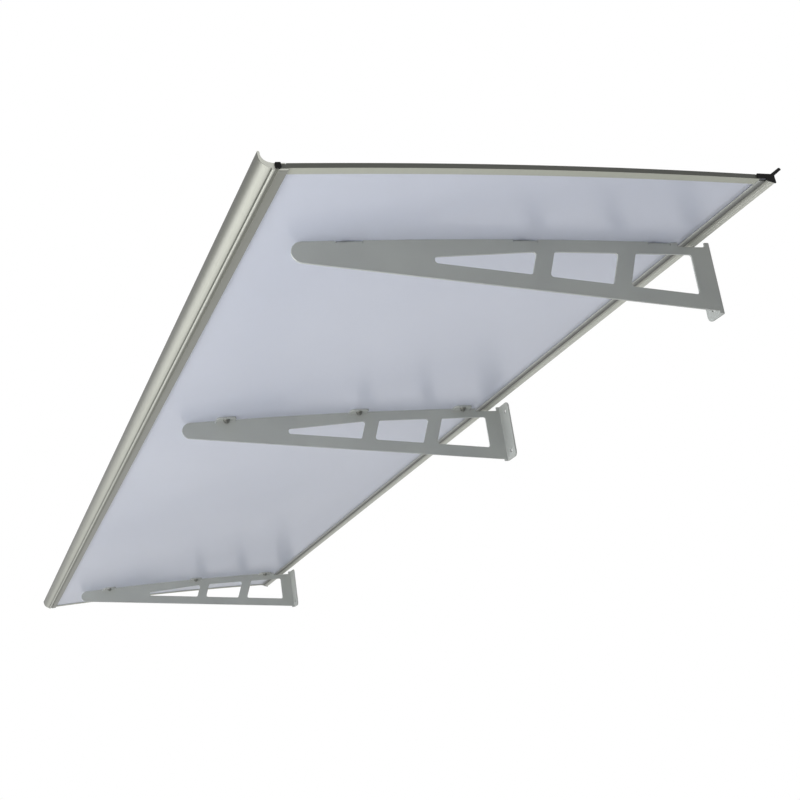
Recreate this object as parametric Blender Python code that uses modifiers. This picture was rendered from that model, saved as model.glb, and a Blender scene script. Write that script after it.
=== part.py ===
"""Door canopy: an arched, translucent roof sheet carried on three folded wall brackets.

Metres, +Z up. The wall is the plane Y = 0 and the roof reaches out to -Y.
X = 0 is the middle of the roof's length. Z = 0 is level with the foot of each
bracket's web where it meets the wall.
"""
import math

import bmesh
import bpy
from mathutils import Matrix, Vector

# Whole canopy
ROOF_LENGTH = 3.000          # length of the two edge profiles, along the wall
PROJECTION = 0.800           # wall to the outermost line of the front lip
ROOF_HEIGHT = 0.1232         # top face of the sheet where the arch is level
ROOF_LEVEL_Y = -0.1700       # where that is
ROOF_RADIUS = 10.5           # the sheet's arch
GAP = 0.0003                 # running gap between pieces that touch

# Roof sheet
SHEET_THICKNESS = 0.0040
SHEET_END_PLAY = 0.0042      # room for the sheet to grow, at each end
SHEET_EDGE_PLAY = 0.0015     # room at the bottom of each slot
SHEET_STEPS = 24             # facets along the arc
SCREW_HOLE_PLAY = 0.0010     # the sheet's holes are this much wider all round

# Rear profile
REAR_STANDOFF = 0.0310       # wall to the back of the rear profile
REAR_WALL = 0.0025
REAR_SILL = 0.0100           # reach of the lower lip under the sheet, from the slot's wall
REAR_SILL_THICKNESS = 0.0016
REAR_LIP = 0.0265            # cover of the upper lip over the sheet
LIP_THICKNESS = 0.0016
LEG_REACH = 0.0130           # run of the drip leg, down and back to the wall
LEG_DROP = 0.0034
LEG_THICKNESS = 0.0020
UPSTAND_REACH = 0.0135       # how far the upstand leans back to the wall
UPSTAND_RISE = 0.0095
UPSTAND_THICKNESS = 0.0018
REAR_GASKET_HEIGHT = 0.0016
REAR_GASKET_NOSE = 0.0105    # how far the rear gasket shows in front of the lower lip
SEAL_LENGTH = 0.0060         # grip of the wall seal along the upstand
SEAL_THICKNESS = 0.0016
SEAL_BULB_RADIUS = 0.0018

# Front profile
FRONT_LIP = 0.0146           # lower lip under the sheet, from the sheet's edge
FRONT_UPPER_LIP = 0.0120
FRONT_LIP_THICKNESS = 0.0024
FRONT_GASKET_HEIGHT = 0.0015
LIP_REACH = 0.0221           # sheet's front edge to the outermost line
LIP_TOP = 0.0208             # height of the lip's crest over the middle of the sheet
LIP_CREST_WIDTH = 0.0034
BEAD_RADIUS = 0.0023
SCOOP_START = 0.0050         # crest down to where the lip's inner curve leaves it
SCOOP_DROP = 0.0120          # crest down to the middle of that curve
SCOOP_SET = 0.0012           # how far the curve's middle lies behind the crest

# Side trims
TRIM_DEPTH = 0.0160          # cover of the trim over the sheet's end
TRIM_WALL = 0.0012

# Caps
CAP_THICKNESS = 0.0022
CAP_TONGUE = 0.0030
CAP_MARGIN = 0.0010
PLUG_SIZE = 0.0078

# Brackets
PLATE = 0.0030               # thickness of the folded sheet metal
BEND_RADIUS = 0.0015         # inside radius of each fold
END_OVERHANG = 0.2130        # roof's end to the outer bracket's web
MIDDLE_BRACKET_X = 0.4640    # the middle bracket stands off centre
TIP_SETBACK = 0.0970         # front line of the canopy to the bracket's tip
TIP_HEIGHT = 0.0330          # height of the rounded tip
WEB_TOP_GAP = 0.0008         # web's top edge below the sheet
TOP_BAND = 0.0200            # metal left over the windows
BOTTOM_BAND = 0.0245         # metal left under the windows
POST_LEAN = 0.35             # lean of the posts between the windows
WINDOW_EDGES = ((-0.2859, -0.1733), (-0.1427, -0.0400))
LONG_WINDOW_REAR = -0.3158
LONG_WINDOW_TIP_Y = -0.4860
LONG_WINDOW_TIP = 0.0100     # height of the long window at its tip
WINDOW_RADIUS = 0.0048
NOTCH_DEPTH = 0.0305         # notch under the rear profile, in front of that profile's back
EAR_LENGTH = 0.0400
EAR_WIDTH = 0.0240
EAR_RADIUS = 0.0080
EAR_RELIEF = 0.0012          # slit beside each fold
FRONT_EAR_FROM_TIP = 0.0880
EAR_PLACES = (-0.3320, -0.0950)
FOLD_OVERLAP = 0.0060        # leg of each folded tab that lies in the web
WALL_PLATE_WIDTH = 0.0440
WALL_PLATE_RISE = 0.0080     # wall plate's top over the notch
WALL_PLATE_DROP = 0.0030     # wall plate's foot below the web
WALL_PLATE_RADIUS = 0.0100
WALL_HOLE_RADIUS = 0.0045
WALL_HOLE_FROM_WEB = 0.0250
WALL_HOLE_FROM_END = 0.0170

# Fasteners
SCREW_RADIUS = 0.0030
SCREW_FROM_WEB = 0.0135
HEAD_RADIUS = 0.0058
HEAD_HEIGHT = 0.0034
HEX_SOCKET_RADIUS = 0.0022
HEX_SOCKET_DEPTH = 0.0018
SCREW_END = 0.0020           # thread showing under the nut
WASHER_RADIUS = 0.0082
WASHER_THICKNESS = 0.0012
SEAL_WASHER_RADIUS = 0.0090
SEAL_WASHER_THICKNESS = 0.0020
NUT_RADIUS = 0.0058          # across the corners, halved
NUT_HEIGHT = 0.0050
NUT_FLANGE_RADIUS = 0.0068
NUT_FLANGE_THICKNESS = 0.0012
ROUND_STEPS = 16

# Where things lie, worked out from the sizes above
HALF = ROOF_LENGTH / 2
BEND = BEND_RADIUS + PLATE
SLOT_WALL_Y = -(REAR_STANDOFF + REAR_WALL)
REAR_EDGE_Y = SLOT_WALL_Y - SHEET_EDGE_PLAY
FRONT_EDGE_Y = LIP_REACH - PROJECTION
SHEET_HALF = HALF - SHEET_END_PLAY
SHEET_MIDDLE = SHEET_THICKNESS / 2
TIP_Y = TIP_SETBACK - PROJECTION
TIP_CENTRE_Y = TIP_Y + TIP_HEIGHT / 2
SCREW_HOLE_RADIUS = SCREW_RADIUS + GAP
PLUG_MIDDLE_U = SHEET_EDGE_PLAY - PLUG_SIZE / 2 + CAP_MARGIN
PLUG_TONGUE_U = PLUG_MIDDLE_U - PLUG_SIZE / 2 + CAP_MARGIN


def roof_top(y):
    """Height of the sheet's top face at a distance y from the wall."""
    return ROOF_HEIGHT - ROOF_RADIUS + math.sqrt(ROOF_RADIUS ** 2 - (y - ROOF_LEVEL_Y) ** 2)


def roof_tilt(y):
    """Angle of the sheet about X at y: positive where it falls to the front."""
    return -math.asin((y - ROOF_LEVEL_Y) / ROOF_RADIUS)


def web_top(y):
    """Height of the web's top edge, just under the sheet."""
    return roof_top(y) - SHEET_THICKNESS - WEB_TOP_GAP


def web_bottom(y):
    """Height of the web's straight lower edge, from the wall to the tip."""
    return (web_top(TIP_CENTRE_Y) - TIP_HEIGHT) * y / TIP_CENTRE_Y


REAR_LIP_FRONT = SLOT_WALL_Y - REAR_LIP
REAR_LIP_Z = roof_top(REAR_LIP_FRONT) + GAP
SHEET_REAR_LOW = roof_top(REAR_EDGE_Y) - SHEET_THICKNESS
SILL_TOP = SHEET_REAR_LOW - REAR_GASKET_HEIGHT - 2 * GAP
SILL_Z = SILL_TOP - REAR_SILL_THICKNESS
SILL_FRONT = SLOT_WALL_Y - REAR_SILL
LEG_END = (SILL_FRONT + LEG_REACH, SILL_Z - LEG_DROP)
NOTCH_Z = LEG_END[1] - GAP
NOTCH_Y = -(REAR_STANDOFF + NOTCH_DEPTH)

BRACKETS = {
    "right": (HALF - END_OVERHANG, -1),
    "middle": (MIDDLE_BRACKET_X - PLATE, 1),
    "left": (END_OVERHANG - HALF - PLATE, 1),
}
EARS = {
    "front": TIP_Y + FRONT_EAR_FROM_TIP,
    "mid": EAR_PLACES[0],
    "rear": EAR_PLACES[1],
}


def clear_scene():
    for old in list(bpy.data.objects):
        bpy.data.objects.remove(old, do_unlink=True)


def new_collection(name):
    collection = bpy.data.collections.new(name)
    bpy.context.scene.collection.children.link(collection)
    return collection


def make_material(name, colour, roughness, metallic=0.0, alpha=1.0):
    material = bpy.data.materials.new(name)
    material.use_nodes = True
    shader = material.node_tree.nodes["Principled BSDF"]
    shader.inputs["Base Color"].default_value = (*colour, 1.0)
    shader.inputs["Roughness"].default_value = roughness
    shader.inputs["Metallic"].default_value = metallic
    shader.inputs["Alpha"].default_value = alpha
    material.diffuse_color = (*colour, alpha)
    return material


def add_object(name, mesh, material=None, place=None, collection=None):
    """Put a mesh in the canopy's collection, at a place given as a matrix."""
    item = bpy.data.objects.new(name, mesh)
    (collection or CANOPY).objects.link(item)
    if material:
        if not mesh.materials:
            mesh.materials.append(material)
    if place:
        item.matrix_world = place
    return item


def mesh_from(bm, name):
    mesh = bpy.data.meshes.new(name)
    bmesh.ops.recalc_face_normals(bm, faces=bm.faces)
    bm.to_mesh(mesh)
    bm.free()
    return mesh


def arc(centre, radius, start, end, steps):
    """Points of a circular arc, angles in degrees, both ends included."""
    points = []
    for i in range(steps + 1):
        angle = math.radians(start + (end - start) * i / steps)
        points.append((centre[0] + radius * math.cos(angle), centre[1] + radius * math.sin(angle)))
    return points


def bezier(a, b, c, d, steps):
    """Points of a cubic curve from a to d, drawn towards b and c."""
    points = []
    for i in range(steps + 1):
        t = i / steps
        s = 1 - t
        weights = (s ** 3, 3 * s * s * t, 3 * s * t * t, t ** 3)
        points.append(tuple(sum(w * p[k] for w, p in zip(weights, (a, b, c, d))) for k in (0, 1)))
    return points


def rounded(points, radius, steps=4):
    """Round every corner of a closed outline to a radius."""
    outline = []
    count = len(points)
    for i, corner in enumerate(points):
        here = Vector(corner)
        to_last = (Vector(points[i - 1]) - here).normalized()
        to_next = (Vector(points[(i + 1) % count]) - here).normalized()
        half = to_last.angle(to_next) / 2
        start = here + to_last * radius / math.tan(half)
        end = here + to_next * radius / math.tan(half)
        centre = here + (to_last + to_next).normalized() * radius / math.sin(half)
        for k in range(steps + 1):
            spoke = (start - centre).slerp(end - centre, k / steps).normalized()
            outline.append(tuple(centre + spoke * radius))
    return outline


def plate_mesh(name, loops, thickness):
    """A flat plate in the XY plane from an outline and its holes, as a 2D curve made a mesh."""
    curve = bpy.data.curves.new(name, "CURVE")
    curve.dimensions = "2D"
    curve.fill_mode = "BOTH"
    curve.extrude = thickness / 2
    for loop in loops:
        spline = curve.splines.new("POLY")
        spline.points.add(len(loop) - 1)
        for point, (x, y) in zip(spline.points, loop):
            point.co = (x, y, 0, 1)
        spline.use_cyclic_u = True
    item = bpy.data.objects.new(name, curve)
    bpy.context.scene.collection.objects.link(item)
    evaluated = item.evaluated_get(bpy.context.evaluated_depsgraph_get())
    mesh = bpy.data.meshes.new_from_object(evaluated)
    bpy.data.objects.remove(item)
    bpy.data.curves.remove(curve)
    bm = bmesh.new()
    bm.from_mesh(mesh)
    bpy.data.meshes.remove(mesh)
    bmesh.ops.remove_doubles(bm, verts=bm.verts, dist=1e-6)
    return mesh_from(bm, name)


# Turns a plate drawn in XY so that its X lies along +Y, its Y along +Z, its thickness along X
UPRIGHT = Matrix(((0, 0, 1, 0), (1, 0, 0, 0), (0, 1, 0, 0), (0, 0, 0, 1)))


def section_object(name, outline, length, material, centre_x=0.0):
    """A profile: an outline in (y, z) run along X."""
    mesh = plate_mesh(name, [outline], length)
    return add_object(name, mesh, material, Matrix.Translation((centre_x, 0, 0)) @ UPRIGHT)


def add_boolean(item, cutter, operation):
    """Cut or join with a helper object, which stays hidden in its own collection."""
    for collection in cutter.users_collection:
        collection.objects.unlink(cutter)
    CUTTERS.objects.link(cutter)
    cutter.hide_render = True
    cutter.display_type = "WIRE"
    modifier = item.modifiers.new(operation.title(), "BOOLEAN")
    modifier.operation = operation
    modifier.solver = "EXACT"
    modifier.object = cutter


def drill(item, name, place, radius, depth, segments=ROUND_STEPS):
    """Cut a round hole along a place's Z axis, through depth on both sides."""
    bm = bmesh.new()
    bmesh.ops.create_cone(bm, cap_ends=True, segments=segments, radius1=radius, radius2=radius,
                          depth=2 * depth)
    add_boolean(item, add_object(name, mesh_from(bm, name), place=place), "DIFFERENCE")


def turned_mesh(name, profile, steps=ROUND_STEPS):
    """A turned piece: a profile of (radius, height) points, top to bottom, about Z."""
    bm = bmesh.new()
    verts = [bm.verts.new((r, 0, z)) for r, z in profile]
    for a, b in zip(verts, verts[1:]):
        bm.edges.new((a, b))
    if profile[0][0] > 0:
        bm.edges.new((verts[-1], verts[0]))
    mesh = bpy.data.meshes.new(name)
    bm.to_mesh(mesh)
    bm.free()
    item = bpy.data.objects.new(name, mesh)
    bpy.context.scene.collection.objects.link(item)
    screw = item.modifiers.new("Turn", "SCREW")
    screw.steps = steps
    screw.render_steps = steps
    screw.use_merge_vertices = True
    screw.merge_threshold = 1e-6
    evaluated = item.evaluated_get(bpy.context.evaluated_depsgraph_get())
    turned = bpy.data.meshes.new_from_object(evaluated)
    bpy.data.objects.remove(item)
    bm = bmesh.new()
    bm.from_mesh(turned)
    bpy.data.meshes.remove(turned)
    bmesh.ops.remove_doubles(bm, verts=bm.verts, dist=1e-6)
    round_mesh = mesh_from(bm, name)
    round_mesh.shade_smooth()
    round_mesh.set_sharp_from_angle(angle=math.radians(40))
    return round_mesh


def bend_to_roof(mesh):
    """Lower every point of a level mesh, drawn at Z = 0, onto the roof's arc."""
    for vert in mesh.vertices:
        vert.co.z += roof_top(vert.co.y)


def long_strip(section, name, length_y, middle_y):
    """Run a small (x, z) section along Y in steps, for a piece that follows the arc."""
    bm = bmesh.new()
    rings = []
    for i in range(SHEET_STEPS + 1):
        y = middle_y - length_y / 2 + length_y * i / SHEET_STEPS
        rings.append([bm.verts.new((x, y, z)) for x, z in section])
    for ring, following in zip(rings, rings[1:]):
        for k in range(len(section)):
            after = (k + 1) % len(section)
            bm.faces.new((ring[k], ring[after], following[after], following[k]))
    bm.faces.new(rings[0])
    bm.faces.new(rings[-1])
    mesh = mesh_from(bm, name)
    bend_to_roof(mesh)
    return mesh


def roof_place(x, y):
    """A frame on the sheet's top face at (x, y), its Z axis square to the sheet."""
    return Matrix.Translation((x, y, roof_top(y))) @ Matrix.Rotation(roof_tilt(y), 4, "X")


def screw_x(side):
    """Where a bracket's screws stand, along the wall."""
    x, hand = BRACKETS[side]
    return x + hand * SCREW_FROM_WEB


def build_roof_sheet():
    half = SHEET_HALF
    section = ((-half, 0), (half, 0), (half, -SHEET_THICKNESS), (-half, -SHEET_THICKNESS))
    length = REAR_EDGE_Y - FRONT_EDGE_Y
    mesh = long_strip(section, "roof_sheet", length, (REAR_EDGE_Y + FRONT_EDGE_Y) / 2)
    sheet = add_object("roof_sheet", mesh, POLYCARBONATE)
    for side in BRACKETS:
        for place, y in EARS.items():
            drill(sheet, f"sheet_hole_{side}_{place}", roof_place(screw_x(side), y),
                  SCREW_RADIUS + SCREW_HOLE_PLAY, 2 * SHEET_THICKNESS)


def build_side_trims():
    """Channels on the sheet's ends: the wall runs on to both caps, each flange stops at a lip."""
    inner = HALF - TRIM_WALL
    top = GAP
    bottom = -SHEET_THICKNESS - GAP
    front = front_frame(PLUG_TONGUE_U - GAP, 0)[0]
    rear = SILL_FRONT - REAR_GASKET_NOSE - 2 * GAP
    mouth = HALF - TRIM_DEPTH
    section = ((mouth, top), (inner, top), (inner, bottom), (mouth, bottom),
               (mouth, bottom - TRIM_WALL), (HALF, bottom - TRIM_WALL),
               (HALF, top + TRIM_WALL), (mouth, top + TRIM_WALL))
    over = SHEET_MIDDLE + 4 * TRIM_WALL
    upper_end = -FRONT_UPPER_LIP - 2 * GAP
    lower_end = -FRONT_LIP - 2 * GAP
    front_top = [front_frame(u, w) for u, w in (
        (upper_end, SHEET_MIDDLE), (LIP_REACH, SHEET_MIDDLE), (LIP_REACH, over), (upper_end, over))]
    front_low = [front_frame(u, w) for u, w in (
        (lower_end, -2 * over), (LIP_REACH, -2 * over), (LIP_REACH, over), (lower_end, over))]
    level = REAR_LIP_Z - GAP
    rear_top = [(REAR_LIP_FRONT - 2 * GAP, level), (0, level), (0, level + over),
                (REAR_LIP_FRONT - 2 * GAP, level + over)]
    cuts = (("front_top", front_top, mouth - TRIM_WALL, HALF + TRIM_WALL),
            ("front_low", front_low, mouth - TRIM_WALL, inner - GAP),
            ("rear_top", rear_top, mouth - TRIM_WALL, HALF + TRIM_WALL))
    for side, sign in (("right", 1), ("left", -1)):
        points = [(sign * x, z) for x, z in section]
        mesh = long_strip(points, f"side_trim_{side}", rear - front, (rear + front) / 2)
        trim = add_object(f"side_trim_{side}", mesh, TRIM_GREY)
        for cut, outline, near, far in cuts:
            helper = section_object(f"trim_{cut}_{side}", outline, far - near, None,
                                    sign * (near + far) / 2)
            add_boolean(trim, helper, "DIFFERENCE")


def rear_section():
    """Outline of the rear profile: slot, upper lip, and an upstand and a drip leg leaning back."""
    back = -REAR_STANDOFF
    lip_top = REAR_LIP_Z + LIP_THICKNESS
    chamfer = LIP_THICKNESS / 2
    lean = Vector((UPSTAND_REACH, UPSTAND_RISE)).normalized()
    across = Vector((-lean.y, lean.x)) * UPSTAND_THICKNESS
    root = Vector((back, lip_top - UPSTAND_THICKNESS))
    tip = root + Vector((UPSTAND_REACH, UPSTAND_RISE))
    run = Vector((LEG_REACH, -LEG_DROP))
    up = Vector((-run.y, run.x)).normalized()
    start = Vector((SILL_FRONT, SILL_Z))
    groove = LEG_THICKNESS * 0.4
    points = [tuple(start)]
    for share in (0.30, 0.62):
        for step, depth in ((0, 0), (0.02, groove), (0.08, groove), (0.10, 0)):
            points.append(tuple(start + run * (share + step) + up * depth))
    end = start + run
    points += [tuple(end), tuple(end + up * LEG_THICKNESS)]
    points += [(back, SILL_Z + LEG_THICKNESS), tuple(root), tuple(tip), tuple(tip + across)]
    points += [(back - UPSTAND_THICKNESS, lip_top), (REAR_LIP_FRONT + chamfer, lip_top),
               (REAR_LIP_FRONT, REAR_LIP_Z + chamfer), (REAR_LIP_FRONT, REAR_LIP_Z),
               (SLOT_WALL_Y, REAR_LIP_Z),
               (SLOT_WALL_Y, SILL_TOP), (SILL_FRONT, SILL_TOP)]
    return points


def build_rear():
    section_object("rear_profile", rear_section(), ROOF_LENGTH, ALUMINIUM)

    gasket_top = SHEET_REAR_LOW - GAP
    low = SILL_TOP + GAP
    hook = REAR_SILL_THICKNESS * 0.6
    nose = SILL_FRONT - REAR_GASKET_NOSE
    gasket = [(SLOT_WALL_Y - GAP, low), (SLOT_WALL_Y - GAP, gasket_top), (nose, gasket_top)]
    gasket += bezier((nose, gasket_top - 0.0006), (nose, low), (nose + 0.0008, low - hook),
                     (nose + 0.0030, low - hook), 4)
    gasket += [(SILL_FRONT - GAP, low - hook), (SILL_FRONT - GAP, low)]
    section_object("rear_gasket", gasket, 2 * SHEET_HALF, RUBBER)

    lean = Vector((UPSTAND_REACH, UPSTAND_RISE)).normalized()
    across = Vector((-lean.y, lean.x))
    root = Vector((-REAR_STANDOFF, REAR_LIP_Z + LIP_THICKNESS - UPSTAND_THICKNESS))
    tip = root + Vector((UPSTAND_REACH, UPSTAND_RISE))
    lower = tip + across * (UPSTAND_THICKNESS + GAP)
    bulb = tip + lean * (SEAL_BULB_RADIUS + GAP) + across * (SEAL_THICKNESS - SEAL_BULB_RADIUS)
    bulb += across * (UPSTAND_THICKNESS + GAP)
    angle = math.degrees(math.atan2(lean.y, lean.x))
    seal = [tuple(lower - lean * SEAL_LENGTH), tuple(lower)]
    seal += arc(bulb, SEAL_BULB_RADIUS, angle - 180, angle + 90, 8)
    seal += [tuple(lower - lean * SEAL_LENGTH + across * SEAL_THICKNESS)]
    section_object("rear_seal", seal, ROOF_LENGTH, RUBBER)


def front_frame(u, w):
    """Place (u, w) in (y, z): u outwards from the sheet's front edge, w up from its middle."""
    tilt = roof_tilt(FRONT_EDGE_Y)
    y = FRONT_EDGE_Y - u * math.cos(tilt) + w * math.sin(tilt) * -1
    z = roof_top(FRONT_EDGE_Y) - SHEET_MIDDLE - u * math.sin(tilt) + w * math.cos(tilt)
    return (y, z)


def front_section():
    """Outline of the front profile: slot, grooved underside and a raised outer lip."""
    slot_top = SHEET_MIDDLE + GAP
    slot_low = -(SHEET_MIDDLE + FRONT_GASKET_HEIGHT + 2 * GAP)
    low = slot_low - FRONT_LIP_THICKNESS
    back = SHEET_EDGE_PLAY
    lip_top = slot_top + LIP_THICKNESS
    recess = low + 0.0015
    bead = (2 * BEAD_RADIUS, recess + 0.0002)
    groove = bead[0] + BEAD_RADIUS + 0.0010
    crest = LIP_REACH - LIP_CREST_WIDTH
    points = [(-FRONT_LIP, low + 0.0006), (-FRONT_LIP + 0.0006, low), (-0.0015, low), (-0.0015, recess)]
    points += arc(bead, BEAD_RADIUS, 185, 355, 8)
    points += [(groove - 0.0010, recess + 0.0022), (groove, recess + 0.0022)]
    points += bezier((groove, recess + 0.0010), (groove + 0.0060, recess + 0.0042),
                     (LIP_REACH - 0.0006, recess + 0.0085), (LIP_REACH, LIP_TOP - 0.0055), 9)
    points += arc((LIP_REACH - LIP_CREST_WIDTH / 2, LIP_TOP - LIP_CREST_WIDTH / 2),
                  LIP_CREST_WIDTH / 2, 0, 180, 6)
    points += bezier((crest, LIP_TOP - SCOOP_START), (crest - SCOOP_SET, LIP_TOP - SCOOP_DROP),
                     (crest - 0.0065, lip_top + 0.0008), (back + 0.0010, lip_top), 8)
    points += [(-FRONT_UPPER_LIP + 0.0006, lip_top), (-FRONT_UPPER_LIP, slot_top + 0.0006),
               (-FRONT_UPPER_LIP, slot_top), (back, slot_top), (back, slot_low), (-FRONT_LIP, slot_low)]
    return [front_frame(u, w) for u, w in points]


def build_front():
    section_object("front_profile", front_section(), ROOF_LENGTH, ALUMINIUM)
    top = -SHEET_MIDDLE - GAP
    low = top - FRONT_GASKET_HEIGHT
    inner = -FRONT_LIP + 0.0004
    strip = [(inner, low), (inner, top), (SHEET_EDGE_PLAY - GAP, top), (SHEET_EDGE_PLAY - GAP, low)]
    section_object("front_gasket", [front_frame(u, w) for u, w in strip], 2 * SHEET_HALF, RUBBER)


def build_cap(name, outline, tongue, sign):
    """An end cap: a plate on a profile's end face, with a tongue in the slot's open end."""
    x = sign * (HALF + GAP + CAP_THICKNESS / 2)
    cap = section_object(name, outline, CAP_THICKNESS, CAP_BLACK, x)
    length = CAP_TONGUE + GAP + CAP_THICKNESS / 2
    helper = section_object(f"{name}_tongue", tongue, length, None,
                            sign * (HALF - CAP_TONGUE + length / 2))
    add_boolean(cap, helper, "UNION")


def build_caps():
    half = PLUG_SIZE / 2
    middle = PLUG_MIDDLE_U
    plug = [(middle - half, -half), (middle + half, -half), (middle + half, half), (middle - half, half)]
    head = [front_frame(u, w) for u, w in rounded(plug, 0.0012, 3)]
    tongue_low = -(SHEET_MIDDLE + FRONT_GASKET_HEIGHT + GAP)
    tongue_box = ((PLUG_TONGUE_U, tongue_low), (SHEET_EDGE_PLAY - GAP, tongue_low),
                  (SHEET_EDGE_PLAY - GAP, SHEET_MIDDLE), (PLUG_TONGUE_U, SHEET_MIDDLE))
    tongue = [front_frame(u, w) for u, w in tongue_box]

    back = -REAR_STANDOFF
    lip_top = REAR_LIP_Z + LIP_THICKNESS
    sheet_low = SHEET_REAR_LOW - GAP
    lean = Vector((UPSTAND_REACH, UPSTAND_RISE)).normalized()
    across = Vector((-lean.y, lean.x)) * CAP_MARGIN
    tip = Vector((back + UPSTAND_REACH, lip_top - UPSTAND_THICKNESS + UPSTAND_RISE))
    crest = tip + lean * 2 * CAP_MARGIN
    over = across * (1 + UPSTAND_THICKNESS / CAP_MARGIN)
    rear_cap = [
        (REAR_LIP_FRONT, sheet_low),
        (SILL_FRONT - CAP_MARGIN, sheet_low),
        (SILL_FRONT - CAP_MARGIN / 2, SILL_Z),
        (LEG_END[0] + CAP_MARGIN, LEG_END[1] - CAP_MARGIN),
        (LEG_END[0] + CAP_MARGIN, LEG_END[1] + LEG_THICKNESS + CAP_MARGIN),
        (back + CAP_MARGIN, SILL_Z + LEG_THICKNESS + CAP_MARGIN),
        (back + CAP_MARGIN, lip_top - UPSTAND_THICKNESS - CAP_MARGIN / 2),
        tuple(crest - across),
        tuple(crest + over),
        (back - 2 * CAP_MARGIN, lip_top),
        (REAR_LIP_FRONT, lip_top),
    ]
    rear_tongue = [
        (SILL_FRONT + CAP_MARGIN, SILL_TOP + GAP),
        (SLOT_WALL_Y - GAP, SILL_TOP + GAP),
        (SLOT_WALL_Y - GAP, REAR_LIP_Z - 2 * GAP),
        (SILL_FRONT + CAP_MARGIN, REAR_LIP_Z - 2 * GAP),
    ]
    for side, sign in (("right", 1), ("left", -1)):
        build_cap(f"front_plug_{side}", head, tongue, sign)
        build_cap(f"rear_cap_{side}", rounded(rear_cap, 0.0006, 2), rear_tongue, sign)


def long_window():
    """The window nearest the tip: a narrow front end, and a leaning post behind it."""
    top = web_top(LONG_WINDOW_REAR) - TOP_BAND
    tip_low = web_bottom(LONG_WINDOW_TIP_Y) + BOTTOM_BAND
    low_y = LONG_WINDOW_REAR - POST_LEAN * (top - web_bottom(LONG_WINDOW_REAR) - BOTTOM_BAND)
    return rounded([(LONG_WINDOW_TIP_Y, tip_low), (low_y, web_bottom(low_y) + BOTTOM_BAND),
                    (LONG_WINDOW_REAR, top), (LONG_WINDOW_TIP_Y, tip_low + LONG_WINDOW_TIP)],
                   WINDOW_RADIUS)


def short_window(front, rear, rear_lean):
    """A window between the bands, its front post leaning to the wall as it rises."""
    top = min(web_top(front), web_top(rear)) - TOP_BAND
    corners = []
    for top_y, lean in ((front, POST_LEAN), (rear, rear_lean)):
        low_y = top_y - lean * (top - web_bottom(top_y) - BOTTOM_BAND)
        corners.append((top_y, low_y))
    (front_top, front_low), (rear_top, rear_low) = corners
    return rounded([(front_low, web_bottom(front_low) + BOTTOM_BAND),
                    (rear_low, web_bottom(rear_low) + BOTTOM_BAND),
                    (rear_top, top), (front_top, top)], WINDOW_RADIUS)


def web_outline():
    """The web: straight foot, rounded tip, and a top edge under the roof, cut away at each fold."""
    wall_y = -BEND
    points = [(wall_y, web_bottom(wall_y)), (TIP_CENTRE_Y, web_bottom(TIP_CENTRE_Y))]
    centre = (TIP_CENTRE_Y, web_top(TIP_CENTRE_Y) - TIP_HEIGHT / 2)
    points += arc(centre, TIP_HEIGHT / 2, 270, 90, 10)[1:-1]
    points.append((TIP_CENTRE_Y, web_top(TIP_CENTRE_Y)))
    y = TIP_CENTRE_Y
    for ear_y in sorted(EARS.values()):
        start = ear_y - EAR_LENGTH / 2 - EAR_RELIEF
        end = ear_y + EAR_LENGTH / 2 + EAR_RELIEF
        steps = max(2, round((start - y) / 0.05))
        points += [(y + (start - y) * i / steps, web_top(y + (start - y) * i / steps))
                   for i in range(1, steps + 1)]
        fold = BEND + GAP
        points += [(start, web_top(start) - fold), (end, web_top(end) - fold), (end, web_top(end))]
        y = end
    points += [(NOTCH_Y, web_top(NOTCH_Y)), (NOTCH_Y, NOTCH_Z), (wall_y, NOTCH_Z)]
    return points


def folded_tab(name, width, length, corner):
    """A right-angle fold: a leg down along -Z at X = 0, a flange along +X, run along Y."""
    profile = [(0, -BEND - FOLD_OVERLAP), (PLATE, -BEND - FOLD_OVERLAP)]
    profile += arc((BEND, -BEND), BEND_RADIUS, 180, 90, 4)
    profile += [(width, -PLATE), (width, 0)]
    profile += arc((BEND, -BEND), BEND, 90, 180, 6)
    mesh = plate_mesh(name, [profile], length)
    turn = Matrix(((1, 0, 0, 0), (0, 0, -1, 0), (0, 1, 0, 0), (0, 0, 0, 1)))
    mesh.transform(turn)
    bm = bmesh.new()
    bm.from_mesh(mesh)
    outer = [e for e in bm.edges
             if all(v.co.x > width - GAP for v in e.verts) and abs(e.verts[0].co.z - e.verts[1].co.z) > GAP]
    bmesh.ops.bevel(bm, geom=outer, offset=corner, segments=4, profile=0.5, affect="EDGES")
    return mesh_from(bm, name)


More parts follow.
